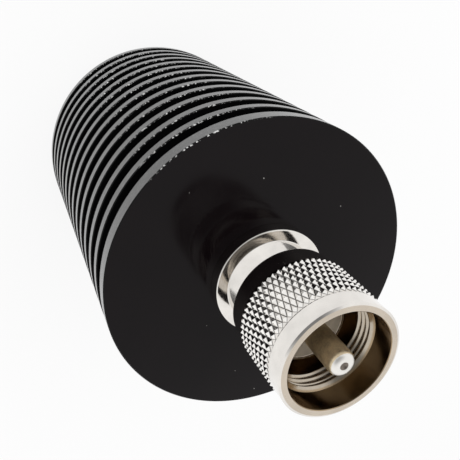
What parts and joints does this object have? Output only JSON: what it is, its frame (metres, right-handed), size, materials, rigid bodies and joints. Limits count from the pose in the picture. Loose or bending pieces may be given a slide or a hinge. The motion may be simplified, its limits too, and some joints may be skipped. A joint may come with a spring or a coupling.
{
  "type": "rf dummy load",
  "caption": "Cylindrical finned heat sink with a coaxial screw-on plug on its front plate; turns radio-frequency power into heat in an inner resistor.",
  "frame": {"origin": "centre of the heat sink's flat rear face, on which the part stands", "axes": "+Z along the common axis from the rear face to the plug; X and Y across the round body"},
  "size_m": [0.053, 0.053, 0.0921],
  "materials": {
    "black_anodised": "black anodised, smooth with a soft gloss",
    "bright_plate": "polished plating",
    "bead_plastic": "matt, grey-tan",
    "contact_plate": "satin plated",
    "spring_brass": "plain spring brass",
    "spring_steel": "plain",
    "film_ceramic": "matt"
  },
  "bodies": {
    "load": {"heat_sink": "black_anodised", "connector_body": "bright_plate", "snap_ring": "spring_steel", "front_bead": "bead_plastic", "centre_pin": "contact_plate", "rear_bead": "bead_plastic", "contact_cup": "spring_brass", "resistor_rod": "film_ceramic", "resistor_front_cap": "bright_plate", "resistor_rear_cap": "bright_plate", "ground_cup": "spring_brass"},
    "nut": {"coupling_nut": "bright_plate"}
  },
  "joints": [
    {"name": "nut_turn", "type": "hinge", "parent": "load", "child": "nut", "pos_m": [0, 0, 0.077], "axis": [0, 0, 1], "continuous": true}
  ]
}
